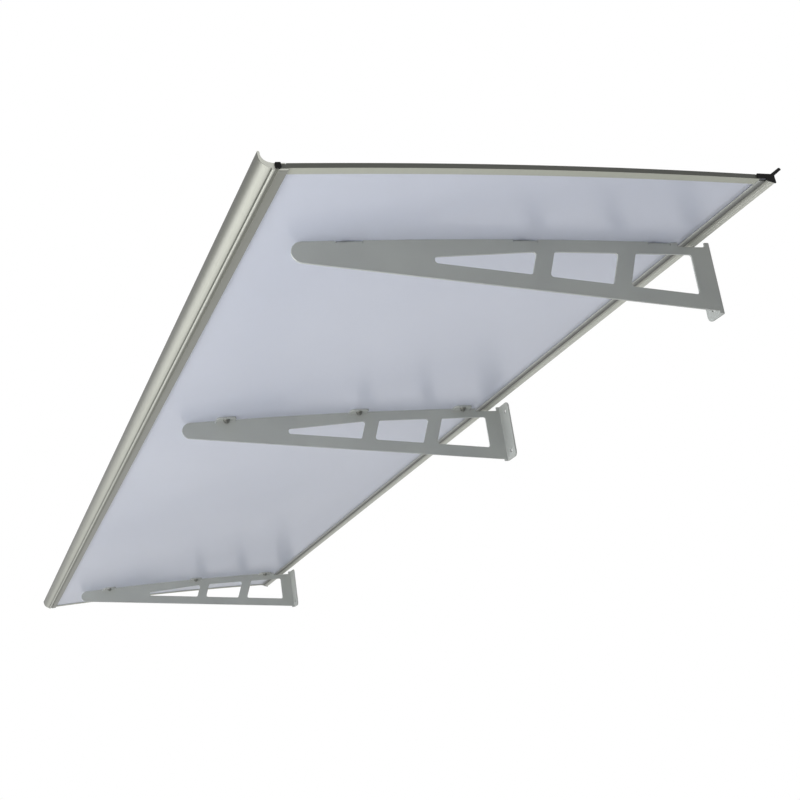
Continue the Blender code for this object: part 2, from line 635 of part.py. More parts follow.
def build_bracket(side):
    """One folded bracket: web with three windows, three ears and a wall plate."""
    x, hand = BRACKETS[side]
    name = f"bracket_{side}"
    windows = [long_window(), short_window(*WINDOW_EDGES[0], POST_LEAN),
               short_window(*WINDOW_EDGES[1], 0.0)]
    mesh = plate_mesh(name, [web_outline()] + windows, PLATE)
    stand = Matrix.Translation((x, 0, 0))
    mirror = Matrix.Diagonal((hand, 1, 1, 1))
    mesh.transform(mirror @ Matrix.Translation((PLATE / 2, 0, 0)) @ UPRIGHT)
    if hand < 0:
        mesh.flip_normals()
    bracket = add_object(name, mesh, BRACKET_GREY, stand)

    def join_tab(tab_name, tab, place):
        tab.transform(mirror @ place)
        if hand < 0:
            tab.flip_normals()
        add_boolean(bracket, add_object(tab_name, tab, place=stand), "UNION")

    for place, y in EARS.items():
        seat = Matrix.Translation((0, y, roof_top(y))) @ Matrix.Rotation(roof_tilt(y), 4, "X")
        seat = seat @ Matrix.Translation((0, 0, -SHEET_THICKNESS - GAP))
        tab = folded_tab(f"ear_{side}_{place}", EAR_WIDTH, EAR_LENGTH, EAR_RADIUS)
        join_tab(f"ear_{side}_{place}", tab, seat)
    top = NOTCH_Z + WALL_PLATE_RISE
    height = top + WALL_PLATE_DROP
    seat = Matrix.Translation((0, 0, top - height / 2)) @ Matrix.Rotation(math.radians(-90), 4, "X")
    tab = folded_tab(f"wall_plate_{side}", WALL_PLATE_WIDTH, height, WALL_PLATE_RADIUS)
    join_tab(f"wall_plate_{side}", tab, seat)

    for place, y in EARS.items():
        drill(bracket, f"ear_hole_{side}_{place}", roof_place(screw_x(side), y),
              SCREW_HOLE_RADIUS, SHEET_THICKNESS + 3 * PLATE)
    for place, z in (("low", WALL_HOLE_FROM_END - WALL_PLATE_DROP), ("high", top - WALL_HOLE_FROM_END)):
        seat = Matrix.Translation((x + hand * WALL_HOLE_FROM_WEB, 0, z))
        seat = seat @ Matrix.Rotation(math.radians(90), 4, "X")
        drill(bracket, f"wall_hole_{side}_{place}", seat, WALL_HOLE_RADIUS, 2 * PLATE, 20)


def screw_mesh():
    """Button-head screw, Z = 0 under its head, with a hexagon socket cut by the caller."""
    grip = SEAL_WASHER_THICKNESS + WASHER_THICKNESS + SHEET_THICKNESS + PLATE + 5 * GAP
    length = grip + NUT_HEIGHT + SCREW_END
    profile = [(0, HEAD_HEIGHT), (HEAD_RADIUS * 0.55, HEAD_HEIGHT), (HEAD_RADIUS * 0.85, HEAD_HEIGHT * 0.72),
               (HEAD_RADIUS, HEAD_HEIGHT * 0.25), (HEAD_RADIUS, 0), (SCREW_RADIUS, 0),
               (SCREW_RADIUS, 0.0006 - length), (SCREW_RADIUS - 0.0006, -length), (0, -length)]
    return turned_mesh("roof_screw", profile)


def ring_mesh(name, radius, thickness, edge):
    """A flat ring round the screw, Z = 0 at its lower face, its outer edges eased."""
    bore = SCREW_HOLE_RADIUS
    profile = [(bore, thickness), (radius - edge, thickness), (radius, thickness - edge),
               (radius, edge), (radius - edge, 0), (bore, 0)]
    return turned_mesh(name, profile)


def build_nut(name, place):
    """Hexagon nut with a flange against the ear, its upper face at the place's Z = 0."""
    bm = bmesh.new()
    bmesh.ops.create_cone(bm, cap_ends=True, segments=6, radius1=NUT_RADIUS * 0.94, radius2=NUT_RADIUS,
                          depth=NUT_HEIGHT, matrix=Matrix.Translation((0, 0, -NUT_HEIGHT / 2)))
    nut = add_object(name, mesh_from(bm, name), STEEL, place)
    bm = bmesh.new()
    bmesh.ops.create_cone(bm, cap_ends=True, segments=ROUND_STEPS, radius1=NUT_FLANGE_RADIUS,
                          radius2=NUT_FLANGE_RADIUS, depth=NUT_FLANGE_THICKNESS,
                          matrix=Matrix.Translation((0, 0, -NUT_FLANGE_THICKNESS / 2)))
    add_boolean(nut, add_object(f"{name}_flange", mesh_from(bm, name), place=place), "UNION")
    drill(nut, f"{name}_bore", place, SCREW_HOLE_RADIUS, 2 * NUT_HEIGHT)


def build_fasteners():
    screw = screw_mesh()
    cover = ring_mesh("cover_washer", WASHER_RADIUS, WASHER_THICKNESS, 0.0004)
    seal = ring_mesh("sealing_washer", SEAL_WASHER_RADIUS, SEAL_WASHER_THICKNESS, 0.0006)
    for side in BRACKETS:
        for place, y in EARS.items():
            spot = roof_place(screw_x(side), y)
            label = f"{side}_{place}"
            height = GAP
            add_object(f"sealing_washer_{label}", seal, RUBBER, spot @ Matrix.Translation((0, 0, height)))
            height += SEAL_WASHER_THICKNESS + GAP
            add_object(f"cover_washer_{label}", cover, STEEL, spot @ Matrix.Translation((0, 0, height)))
            height += WASHER_THICKNESS + GAP
            bolt = add_object(f"screw_{label}", screw, STEEL, spot @ Matrix.Translation((0, 0, height)))
            socket = spot @ Matrix.Translation((0, 0, height + HEAD_HEIGHT))
            drill(bolt, f"socket_{label}", socket, HEX_SOCKET_RADIUS, HEX_SOCKET_DEPTH, 6)
            under = -(SHEET_THICKNESS + PLATE + 2 * GAP)
            build_nut(f"nut_{label}", spot @ Matrix.Translation((0, 0, under)))


clear_scene()
CANOPY = new_collection("door_canopy")
CUTTERS = new_collection("cutters")
POLYCARBONATE = make_material("translucent_polycarbonate", (0.62, 0.66, 0.74), 0.25, alpha=0.85)
ALUMINIUM = make_material("satin_aluminium", (0.62, 0.62, 0.58), 0.35, metallic=0.9)
TRIM_GREY = make_material("grey_trim", (0.26, 0.27, 0.25), 0.45)
BRACKET_GREY = make_material("grey_powder_coat", (0.28, 0.30, 0.28), 0.5)
RUBBER = make_material("black_rubber", (0.03, 0.03, 0.03), 0.7)
CAP_BLACK = make_material("black_plastic", (0.02, 0.02, 0.02), 0.4)
STEEL = make_material("stainless_steel", (0.55, 0.55, 0.54), 0.3, metallic=1.0)

build_roof_sheet()
build_side_trims()
build_rear()
build_front()
build_caps()
for bracket_side in BRACKETS:
    build_bracket(bracket_side)
build_fasteners()
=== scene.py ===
import math

import bmesh
import bpy
from mathutils import Matrix, Vector


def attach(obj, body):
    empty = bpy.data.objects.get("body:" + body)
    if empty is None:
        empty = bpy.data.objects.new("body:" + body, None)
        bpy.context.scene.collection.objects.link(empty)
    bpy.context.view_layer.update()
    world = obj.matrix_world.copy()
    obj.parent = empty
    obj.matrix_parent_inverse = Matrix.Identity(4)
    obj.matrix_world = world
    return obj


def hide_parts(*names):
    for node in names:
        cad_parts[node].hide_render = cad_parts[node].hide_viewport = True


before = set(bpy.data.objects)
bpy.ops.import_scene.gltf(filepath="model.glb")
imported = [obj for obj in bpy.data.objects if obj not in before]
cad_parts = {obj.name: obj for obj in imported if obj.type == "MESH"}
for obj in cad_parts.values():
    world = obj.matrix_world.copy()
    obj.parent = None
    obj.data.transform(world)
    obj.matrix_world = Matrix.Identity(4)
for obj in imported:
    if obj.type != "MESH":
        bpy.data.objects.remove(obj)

bpy.ops.object.select_all(action="DESELECT")
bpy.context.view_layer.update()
ROOT = "root"

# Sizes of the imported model, in metres
HALF = 1.5                   # half of the profiles' length
GAP = 0.0003                 # gap between pieces that touch
ROOF_HEIGHT = 0.1232         # top face of the sheet where the arch is level
ROOF_LEVEL_Y = -0.1700
ROOF_RADIUS = 10.5
SHEET_THICKNESS = 0.0040
PLATE = 0.0030               # sheet metal of the brackets
SCREW_RADIUS = 0.0030
THREAD_CORE = 0.0025
THREAD_PITCH = 0.0010
HEAD_RADIUS = 0.0058
HEAD_HEIGHT = 0.0034
SOCKET_RADIUS = 0.0022
SOCKET_DEPTH = 0.0018
SCREW_END = 0.0020           # thread that shows under the nut
WASHER_RADIUS = 0.0082
WASHER_THICKNESS = 0.0012
SEAL_RADIUS = 0.0090
SEAL_THICKNESS = 0.0020
NUT_RADIUS = 0.0058
NUT_HEIGHT = 0.0050
FLANGE_RADIUS = 0.0068
FLANGE_THICKNESS = 0.0012
BORE_RADIUS = SCREW_RADIUS + GAP
SCREW_LINES = {"right": 1.2735, "middle": 0.4745, "left": -1.2765}
SCREW_ROWS = {"front": -0.6150, "mid": -0.3320, "rear": -0.0950}

# Finer forms, with their lengths in metres
FINE_EDGE = 0.0002           # eased edges of profiles and strips
SOFT_EDGE = 0.0003           # of the sheet, trims and caps
FOLDED_EDGE = 0.0004         # and of the brackets
SEAL_RIMS = (0.0008, 0.0007)     # rounding of a washer's upper and lower rim
WASHER_RIMS = (0.0009, 0.0002)
HEAD_DOME = 0.0027
HEAD_EDGE = 0.0003
TIP_CHAMFER = 0.0005
NUT_CHAMFER = 0.0008
FLANGE_CONE = 0.0009
FLANGE_REACH = 1.5 * FLANGE_THICKNESS    # the flange with its cone, which runs up the hexagon
THREAD_BITE = 0.0002         # how deep the thread's ridge sits in the core
THREAD_START = 0.0002        # where it starts above the tip
THREAD_FOOT = 0.86           # width of the ridge's foot, as a share of the pitch
THREAD_CREST = 0.16          # width of its crest, as a share of the foot's
THREAD_TURNS = 6
THREAD_STEPS = 20            # steps to a turn

# Round corners to be laid level, given on a wall plate by their distance from the screws' line
# and on an ear by their distances from its screw along the wall and out from it
PLATE_CORNERS = 0.0200
EAR_CORNERS_X = (0.0024, 0.0106)
EAR_CORNERS_Y = (0.0119, 0.0201)
EAR_SAG = 0.0018             # more than any of them lies off the ear's face

# Limits for merging, shading and telling faces apart
WELD = 1e-6
BRACKET_WELD = 1e-4
FLAT_ANGLE = 0.08            # degrees
EDGE_ANGLE = 32
SMOOTH_ANGLE = 35
FIXING_SMOOTH_ANGLE = 30
ON_RIM = 2e-5
SQUARE_ON = 0.9              # part of a normal along an axis, for faces that look along it
END_FACING = 0.95
WALL_FACING = 0.6
TOP_FACING = 0.05
TRIM_WALL_DEPTH = 0.0006
# Past the rim the front profile's top faces keep the underside's painted shade
FRONT_RIM_Y = -0.7975        # beyond this the front profile is as dark above as below


# Camera, at the photograph's standing point below the canopy's right end
def build_camera():
    camera = bpy.data.objects.new("photo_camera", bpy.data.cameras.new("photo_camera"))
    bpy.context.scene.collection.objects.link(camera)
    camera.data.lens = 56.35
    camera.data.sensor_width = 36
    camera.data.clip_end = 100
    right = Vector((0.33823, 0.93029, -0.14197))
    up = Vector((0.32600, 0.02570, 0.94502))
    back = Vector((0.88279, -0.36592, -0.29458))
    turn = Matrix((right, up, back)).transposed()
    camera.matrix_world = Matrix.Translation((2.8147, -1.2069, -0.6427)) @ turn.to_4x4()
    bpy.context.scene.camera = camera


build_camera()


# Materials
def linear(code):
    """An sRGB colour such as '#91968f' as the linear values a shader wants."""
    shares = [int(code[i:i + 2], 16) / 255 for i in (1, 3, 5)]
    values = [v / 12.92 if v <= 0.04045 else ((v + 0.055) / 1.055) ** 2.4 for v in shares]
    return (*values, 1.0)


def add_node(tree, kind, settings=None, inputs=None):
    """Add a node. An input given as (node, socket) is linked, and any other is set."""
    node = tree.nodes.new(kind)
    for key, value in (settings or {}).items():
        setattr(node, key, value)
    for key, value in (inputs or {}).items():
        if isinstance(value, tuple) and isinstance(value[0], bpy.types.Node):
            tree.links.new(value[0].outputs[value[1]], node.inputs[key])
        else:
            node.inputs[key].default_value = value
    return node


def new_material(name):
    """A material with its tree, its shader and the socket that its patterns are placed by."""
    material = bpy.data.materials.new(name)
    material.use_nodes = True
    tree = material.node_tree
    place = (add_node(tree, "ShaderNodeTexCoord"), "Object")
    return material, tree, tree.nodes["Principled BSDF"], place


def noise(tree, place, scale, detail, roughness=0.5):
    return add_node(tree, "ShaderNodeTexNoise", {},
                    {"Vector": place, "Scale": scale, "Detail": detail, "Roughness": roughness})


def stretched(tree, place, scale):
    """The same place, drawn out where its scale is below one."""
    return (add_node(tree, "ShaderNodeMapping", {}, {"Vector": place, "Scale": scale}), "Vector")


def spread(tree, pattern, low, high):
    """Lay the range that a noise mostly keeps to, 0.3 to 0.7, over a range of values."""
    return add_node(tree, "ShaderNodeMapRange", {},
                    {"Value": (pattern, "Fac"), "From Min": 0.3, "From Max": 0.7,
                     "To Min": low, "To Max": high})


def distance_along(tree, place, axis):
    """Distance from the origin along an axis, in metres."""
    return add_node(tree, "ShaderNodeVectorMath", {"operation": "DOT_PRODUCT"}, {0: place, 1: axis})


def ramp(tree, source, stops):
    """A colour ramp with its stops, each a position and an sRGB colour."""
    node = add_node(tree, "ShaderNodeValToRGB", {}, {"Fac": source})
    elements = node.color_ramp.elements
    while len(elements) < len(stops):
        elements.new(0.5)
    for element, (position, colour) in zip(elements, stops):
        element.position = position
        element.color = linear(colour)
    return node


def ramp_over(tree, distance, span, stops):
    """A colour ramp over a span of distance."""
    share = add_node(tree, "ShaderNodeMapRange", {},
                     {"Value": distance, "From Min": span[0], "From Max": span[1]})
    return ramp(tree, (share, "Result"), stops)


def bump(tree, height, strength, distance):
    return add_node(tree, "ShaderNodeBump", {},
                    {"Height": height, "Strength": strength, "Distance": distance})


def finish(tree, shader, colour, roughness=None, skin=None):
    """Link the colour, the roughness and the bump of a material to its shader."""
    for key, node in (("Base Color", colour), ("Roughness", roughness), ("Normal", skin)):
        if node:
            tree.links.new(node.outputs[0], shader.inputs[key])


def powder_coat():
    """Polyester powder coat on folded steel: an even matt grey with a fine orange-peel skin."""
    material, tree, shader, place = new_material("grey_polyester_powder_coat")
    # Clouds about 120 mm across, where the coat is a little thicker or thinner
    clouds = noise(tree, place, 8.0, 3.0)
    tone = ramp(tree, (clouds, "Fac"), [(0.30, "#8a8d8b"), (0.70, "#939693")])
    # Orange peel with swellings 1.2 mm across
    peel = noise(tree, place, 830.0, 2.0, 0.4)
    gloss = spread(tree, peel, 0.50, 0.60)
    finish(tree, shader, tone, gloss, bump(tree, (peel, "Fac"), 0.18, 0.0004))
    return material


def anodised_aluminium(name, axis, span, stops, metallic, roughness):
    """Extruded aluminium, satin anodised: a soft sheen, die lines and a tone across the section
    from its stops, which on the profiles' undersides and the trims' outer walls is painted light
    and shade.
    """
    material, tree, shader, place = new_material(name)
    across = distance_along(tree, place, axis)
    tone = ramp_over(tree, (across, "Value"), span, stops)
    # Lines 1 mm apart that the extrusion die draws out along a profile
    lines = noise(tree, stretched(tree, place, (0.004, 1.0, 1.0)), 900.0, 4.0, 0.6)
    tint = spread(tree, lines, 0.90, 1.03)
    colour = add_node(tree, "ShaderNodeVectorMath", {"operation": "SCALE"},
                      {0: (tone, "Color"), "Scale": (tint, "Result")})
    rough = spread(tree, lines, roughness - 0.05, roughness + 0.07)
    shader.inputs["Metallic"].default_value = metallic
    finish(tree, shader, colour, rough, bump(tree, (lines, "Fac"), 0.08, 0.0003))
    return material


def sawn_aluminium():
    """Saw-cut end of an extrusion: bright bare metal with fine straight saw marks."""
    material, tree, shader, place = new_material("sawn_aluminium_end")
    # Saw marks 0.5 mm apart
    marks = add_node(tree, "ShaderNodeTexWave",
                     {"wave_type": "BANDS", "bands_direction": "DIAGONAL"},
                     {"Vector": place, "Scale": 330.0, "Distortion": 1.2, "Detail": 2.0})
    tone = ramp(tree, (marks, "Fac"), [(0.2, "#b4b5ad"), (0.8, "#c4c5bd")])
    shader.inputs["Metallic"].default_value = 0.8
    shader.inputs["Roughness"].default_value = 0.40
    finish(tree, shader, tone, None, bump(tree, (marks, "Fac"), 0.15, 0.0001))
    return material


def frosted_polycarbonate():
    """Frosted polycarbonate sheet: a cool pale tint, cloudy light through it and a soft gloss."""
    material, tree, shader, place = new_material("frosted_polycarbonate_sheet")
    # Broad clouds about 350 mm across, drawn out along the wall
    clouds = noise(tree, stretched(tree, place, (0.5, 1.0, 1.0)), 2.8, 4.0, 0.45)
    tone = ramp(tree, (clouds, "Fac"), [(0.25, "#b6bbc8"), (0.75, "#c2c6d1")])
    # Frost grain, drawn 1.5 mm wide so that it shows
    grain = noise(tree, place, 650.0, 2.0)
    shader.inputs["Transmission Weight"].default_value = 0.55
    shader.inputs["Roughness"].default_value = 0.30
    shader.inputs["IOR"].default_value = 1.58
    shader.inputs["Specular IOR Level"].default_value = 0.40
    finish(tree, shader, tone, None, bump(tree, (grain, "Fac"), 0.05, 0.0003))
    return material


def rubber(name, axis, span, stops):
    """EPDM rubber: dull and dark, with a tone laid across it by its stops and paler patches of
    bloom; on the rear strip that tone is painted shade, darkest against the profile.
    """
    material, tree, shader, place = new_material(name)
    across = distance_along(tree, place, axis)
    # Bloom in patches about 20 mm across, which shift the tone by a tenth of its span
    bloom = noise(tree, place, 50.0, 3.0, 0.6)
    shift = 0.1 * (span[1] - span[0])
    reach = add_node(tree, "ShaderNodeMath", {"operation": "ADD"},
                     {0: (across, "Value"), 1: (spread(tree, bloom, -shift, shift), "Result")})
    tone = ramp_over(tree, (reach, "Value"), span, stops)
    # Skin grain 0.8 mm across
    grain = noise(tree, place, 1250.0, 1.0)
    shader.inputs["Roughness"].default_value = 0.72
    shader.inputs["Specular IOR Level"].default_value = 0.30
    finish(tree, shader, tone, None, bump(tree, (grain, "Fac"), 0.15, 0.0002))
    return material


def moulded_polyamide():
    """Moulded polyamide: black, with a fine spark-eroded grain that breaks up its gloss."""
    material, tree, shader, place = new_material("black_moulded_polyamide")
    # Spark grain 0.5 mm across
    grain = add_node(tree, "ShaderNodeTexVoronoi", {"feature": "SMOOTH_F1"},
                     {"Vector": place, "Scale": 2000.0, "Smoothness": 0.6})
    tone = ramp(tree, (grain, "Distance"), [(0.0, "#070707"), (1.0, "#0f0f0f")])
    shader.inputs["Roughness"].default_value = 0.55
    shader.inputs["IOR"].default_value = 1.53
    shader.inputs["Specular IOR Level"].default_value = 0.12
    finish(tree, shader, tone, None, bump(tree, (grain, "Distance"), 0.25, 0.0002))
    return material


def steel(name, light, dark, roughness):
    """Turned and tumbled steel: a clean grey with fine scratches."""
    material, tree, shader, place = new_material(name)
    # Tumbling marks 0.3 mm across
    marks = noise(tree, place, 3300.0, 3.0, 0.7)
    tone = ramp(tree, (marks, "Fac"), [(0.30, dark), (0.70, light)])
    rough = spread(tree, marks, roughness - 0.06, roughness + 0.08)
    shader.inputs["Metallic"].default_value = 1.0
    finish(tree, shader, tone, rough, bump(tree, (marks, "Fac"), 0.10, 0.0001))
    return material


# The front lip's underside, read outwards over its slot lip, recess, bead and groove to the rim,
# with painted shade in the recess, the groove and towards the rim, and painted light on the bead
# and the scoop
FRONT_LIGHT_AND_SHADE_STOPS = [
    (0.00, "#757670"), (0.33, "#6e6f68"), (0.36, "#66675f"), (0.42, "#66675f"),
    (0.46, "#8e8f88"), (0.51, "#999a92"), (0.55, "#8b8c85"), (0.575, "#5d5e57"),
    (0.60, "#75766e"), (0.65, "#8b8c84"), (0.72, "#8f9088"), (0.80, "#82837b"),
    (0.87, "#6a6b64"), (0.92, "#5f6059"), (0.96, "#55564f"), (1.00, "#3d3e39")]
# The rear profile's underside, read towards the wall over its slot lip, ribs, nose and upstand,
# with painted shade next to the sheet and painted light over its middle
REAR_LIGHT_AND_SHADE_STOPS = [
    (0.00, "#757670"), (0.10, "#868780"), (0.17, "#95968f"), (0.25, "#a1a29b"),
    (0.42, "#a1a29b"), (0.50, "#a9aaa3"), (0.55, "#acada6"), (0.65, "#9b9c95"),
    (0.80, "#91928b"), (1.00, "#979890")]
TOP_STOPS = [(0.0, "#c8c9c1"), (1.0, "#c2c3bb")]
FLANGE_STOPS = [(0.0, "#97998f"), (1.0, "#97998f")]
# The trims' outer walls: a darker copy of the flange's anodising, painted shade
TRIM_WALL_SHADE_STOPS = [(0.0, "#4c4d48"), (1.0, "#4c4d48")]
# The rear gasket strip: painted shade, darkening from the sheet towards the profile
STRIP_SHADE_STOPS = [(0.0, "#7f817e"), (0.5, "#696a68"), (1.0, "#4b4c4a")]
SEAL_STOPS = [(0.0, "#1e1e1d"), (1.0, "#262625")]
RIGHT, OUT, IN, UP = (1.0, 0.0, 0.0), (0.0, -1.0, 0.0), (0.0, 1.0, 0.0), (0.0, 0.0, 1.0)
COAT = powder_coat()
# Profile undersides: their tones across the section are painted light and shade
FRONT_PAINTED_METAL = anodised_aluminium("anodised_front_painted_light_and_shade", OUT, (0.763, 0.801), FRONT_LIGHT_AND_SHADE_STOPS,
                                 0.45, 0.40)
REAR_PAINTED_METAL = anodised_aluminium("anodised_rear_painted_light_and_shade", IN, (-0.044, -0.018), REAR_LIGHT_AND_SHADE_STOPS,
                                0.45, 0.38)
TOP_METAL = anodised_aluminium("satin_anodised_top", IN, (-0.8, 0.0), TOP_STOPS, 0.45, 0.38)
TRIM_FLANGE = anodised_aluminium("grey_anodised_trim", RIGHT, (-HALF, HALF), FLANGE_STOPS,
                                 0.35, 0.48)
TRIM_WALL_PAINTED_SHADE = anodised_aluminium("trim_wall_painted_shade", RIGHT, (-HALF, HALF), TRIM_WALL_SHADE_STOPS,
                               0.35, 0.45)
SAWN = sawn_aluminium()
SHEET = frosted_polycarbonate()
# Rear gasket strip with painted shade across it
STRIP_PAINTED_SHADE = rubber("epdm_strip_painted_shade", IN, (-0.0545, -0.0435), STRIP_SHADE_STOPS)
SEAL = rubber("black_epdm_seal", UP, (0.0, 0.2), SEAL_STOPS)
PLASTIC = moulded_polyamide()
STAINLESS = steel("tumbled_stainless_steel", "#b4b4b1", "#9a9a97", 0.30)
# Screws and nuts: a darker copy of the steel, its darkness painted shade
DARKENED_STEEL = steel("steel_darkened_for_shade", "#83847f", "#696a66", 0.42)


# Modelling helpers
def work_on(piece):
    bpy.ops.object.select_all(action="DESELECT")
    piece.select_set(True)
    bpy.context.view_layer.objects.active = piece


def pick(kind, test):
    """In edit mode, select only the faces or edges that pass the test."""
    bpy.ops.mesh.select_mode(type=kind)
    bpy.ops.mesh.select_all(action="DESELECT")
    mesh = bpy.context.object.data
    shape = bmesh.from_edit_mesh(mesh)
    for item in {"FACE": shape.faces, "EDGE": shape.edges}[kind]:
        item.select_set(test(item))
    shape.select_flush_mode()
    bmesh.update_edit_mesh(mesh)


def drum(name, sides, radius, height, top):
    """A closed drum about Z with its upper face at a height."""
    bpy.ops.object.select_all(action="DESELECT")
    bpy.ops.mesh.primitive_cylinder_add(vertices=sides, radius=radius, depth=height,
                                        location=(0, 0, top - height / 2))
    piece = bpy.context.object
    piece.name = name
    bpy.ops.object.transform_apply(location=True, rotation=True, scale=True)
    return piece


def soften_rim(radius, height, width, segments):
    """Bevel the active piece's round rim about Z that has this radius and height."""
    def on_rim(edge):
        return all(abs(v.co.xy.length - radius) < ON_RIM and abs(v.co.z - height) < ON_RIM
                   for v in edge.verts)

    bpy.ops.object.mode_set(mode="EDIT")
    pick("EDGE", on_rim)
    bpy.ops.mesh.bevel(offset=width, segments=segments, affect="EDGES")
    bpy.ops.object.mode_set(mode="OBJECT")


def cut_with(piece, tool, operation):
    """Apply a Boolean of a helper shape to a piece, and delete the helper."""
    modifier = piece.modifiers.new("shaping", "BOOLEAN")
    modifier.operation = operation
    modifier.solver = "EXACT"
    modifier.object = tool
    work_on(piece)
    bpy.ops.object.modifier_apply(modifier=modifier.name)
    bpy.data.objects.remove(tool, do_unlink=True)


def ring(name, radius, thickness, rims):
    """A washer about Z on Z = 0: a drum with its middle bridged through and its rims rounded."""
    piece = drum(name, 48, radius, thickness, thickness)
    bpy.ops.object.mode_set(mode="EDIT")
    pick("FACE", lambda face: abs(face.normal.z) > SQUARE_ON)
    bpy.ops.mesh.inset(thickness=radius - BORE_RADIUS, depth=0)
    bpy.ops.mesh.bridge_edge_loops()
    bpy.ops.object.mode_set(mode="OBJECT")
    soften_rim(radius, thickness, rims[0], 4)
    soften_rim(radius, 0, rims[1], 3)
    return piece


def thread(low):
    """A closed screw thread about Z, its ridge running up from a height."""
    root = THREAD_CORE - THREAD_BITE
    depth = SCREW_RADIUS - root
    middle = low + THREAD_PITCH / 2
    bpy.ops.object.select_all(action="DESELECT")
    bpy.ops.mesh.primitive_plane_add(size=1, location=(root + depth / 2, 0, middle),
                                     rotation=(math.radians(90), 0, 0))
    piece = bpy.context.object
    piece.scale = (depth, THREAD_PITCH * THREAD_FOOT, 1)
    bpy.ops.object.transform_apply(location=True, rotation=True, scale=True)
    bpy.ops.object.mode_set(mode="EDIT")
    pick("EDGE", lambda edge: all(v.co.x > root + depth / 2 for v in edge.verts))
    bpy.ops.transform.resize(value=(1, 1, THREAD_CREST),
                             center_override=(root + depth, 0, middle))
    bpy.ops.mesh.select_mode(type="FACE")
    bpy.ops.mesh.select_all(action="SELECT")
    bpy.ops.mesh.delete(type="ONLY_FACE")
    bpy.ops.object.mode_set(mode="OBJECT")
    helix = piece.modifiers.new("helix", "SCREW")
    helix.screw_offset = THREAD_PITCH
    helix.iterations = THREAD_TURNS
    helix.steps = helix.render_steps = THREAD_STEPS
    bpy.ops.object.modifier_apply(modifier=helix.name)
    bpy.ops.object.mode_set(mode="EDIT")
    bpy.ops.mesh.select_all(action="SELECT")
    bpy.ops.mesh.fill_holes(sides=4)
    bpy.ops.mesh.select_all(action="SELECT")
    bpy.ops.mesh.normals_make_consistent(inside=False)
    bpy.ops.object.mode_set(mode="OBJECT")
    return piece


def model_screw():
    """Button-head screw: domed head with a hexagon socket, plain shank and a threaded end."""
    grip = SEAL_THICKNESS + WASHER_THICKNESS + SHEET_THICKNESS + PLATE + 5 * GAP
    length = grip + NUT_HEIGHT + SCREW_END
    piece = drum("roof_screw", 48, HEAD_RADIUS, HEAD_HEIGHT, HEAD_HEIGHT)
    bpy.ops.object.mode_set(mode="EDIT")
    pick("FACE", lambda face: face.normal.z < -SQUARE_ON)
    bpy.ops.mesh.inset(thickness=HEAD_RADIUS - THREAD_CORE, depth=0)
    bpy.ops.mesh.extrude_region_move(TRANSFORM_OT_translate={"value": (0, 0, -length)})
    bpy.ops.object.mode_set(mode="OBJECT")
    soften_rim(THREAD_CORE, -length, TIP_CHAMFER, 2)
    soften_rim(HEAD_RADIUS, HEAD_HEIGHT, HEAD_DOME, 8)
    soften_rim(HEAD_RADIUS, 0, HEAD_EDGE, 2)
    socket = drum("socket", 6, SOCKET_RADIUS, 2 * SOCKET_DEPTH, HEAD_HEIGHT + SOCKET_DEPTH)
    cut_with(piece, socket, "DIFFERENCE")
    ridge = thread(-length + THREAD_START)
    work_on(piece)
    ridge.select_set(True)
    bpy.ops.object.join()
    return piece


def model_nut():
    """Flanged hexagon nut: chamfered corners, a coned flange against the ear, and its bore."""
    piece = drum("flanged_nut", 6, NUT_RADIUS, NUT_HEIGHT, 0)
    blank = drum("blank", 48, NUT_RADIUS, 2 * NUT_HEIGHT, NUT_HEIGHT)
    soften_rim(NUT_RADIUS, -NUT_HEIGHT, NUT_CHAMFER, 1)
    cut_with(piece, blank, "INTERSECT")
    flange = drum("flange", 48, FLANGE_RADIUS, FLANGE_REACH, 0)
    soften_rim(FLANGE_RADIUS, -FLANGE_REACH, FLANGE_CONE, 2)
    cut_with(piece, flange, "UNION")
    bore = drum("bore", 32, BORE_RADIUS, 3 * NUT_HEIGHT, NUT_HEIGHT)
    cut_with(piece, bore, "DIFFERENCE")
    return piece


def shade(piece, angle):
    """Smooth shading up to an angle, with the broad flat faces kept flat."""
    work_on(piece)
    bpy.ops.object.shade_smooth_by_angle(angle=math.radians(angle))
    flat = piece.modifiers.new("flat_faces", "WEIGHTED_NORMAL")
    flat.keep_sharp = True
    bpy.ops.object.modifier_apply(modifier=flat.name)


def dress(piece, node, slot, *materials):
    """Give a finished piece its materials, and let it stand for its CAD node."""
    piece.data.materials.clear()
    for material in materials:
        piece.data.materials.append(material)
    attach(piece, ROOT)
    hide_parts(node)
    piece.select_set(False)


def eased_copy(node, name, edge, segments=2, weld=WELD, level=None):
    """A copy of a CAD node's own shape, merged, with its sharp edges eased."""
    piece = bpy.data.objects.new(name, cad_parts[node].data.copy())
    bpy.context.scene.collection.objects.link(piece)
    if level:
        level(piece.data)
    work_on(piece)
    bpy.ops.object.mode_set(mode="EDIT")
    bpy.ops.mesh.select_all(action="SELECT")
    bpy.ops.mesh.remove_doubles(threshold=weld)
    bpy.ops.mesh.dissolve_limited(angle_limit=math.radians(FLAT_ANGLE))
    bpy.ops.object.mode_set(mode="OBJECT")
    bevel = piece.modifiers.new("eased_edges", "BEVEL")
    bevel.width = edge
    bevel.segments = segments
    bevel.limit_method = "ANGLE"
    bevel.angle_limit = math.radians(EDGE_ANGLE)
    bpy.ops.object.modifier_apply(modifier=bevel.name)
    shade(piece, SMOOTH_ANGLE)
    return piece


def finish_faces(piece, index, test):
    """Give the faces that pass the test another of the piece's materials."""
    for face in piece.data.polygons:
        if test(face):
            face.material_index = index


# Roof: sheet, edge profiles, strips, trims and caps
sheet = eased_copy("roof_sheet", "roof_sheet_panel", SOFT_EDGE, 1)
dress(sheet, "roof_sheet", "translucent_polycarbonate", SHEET)

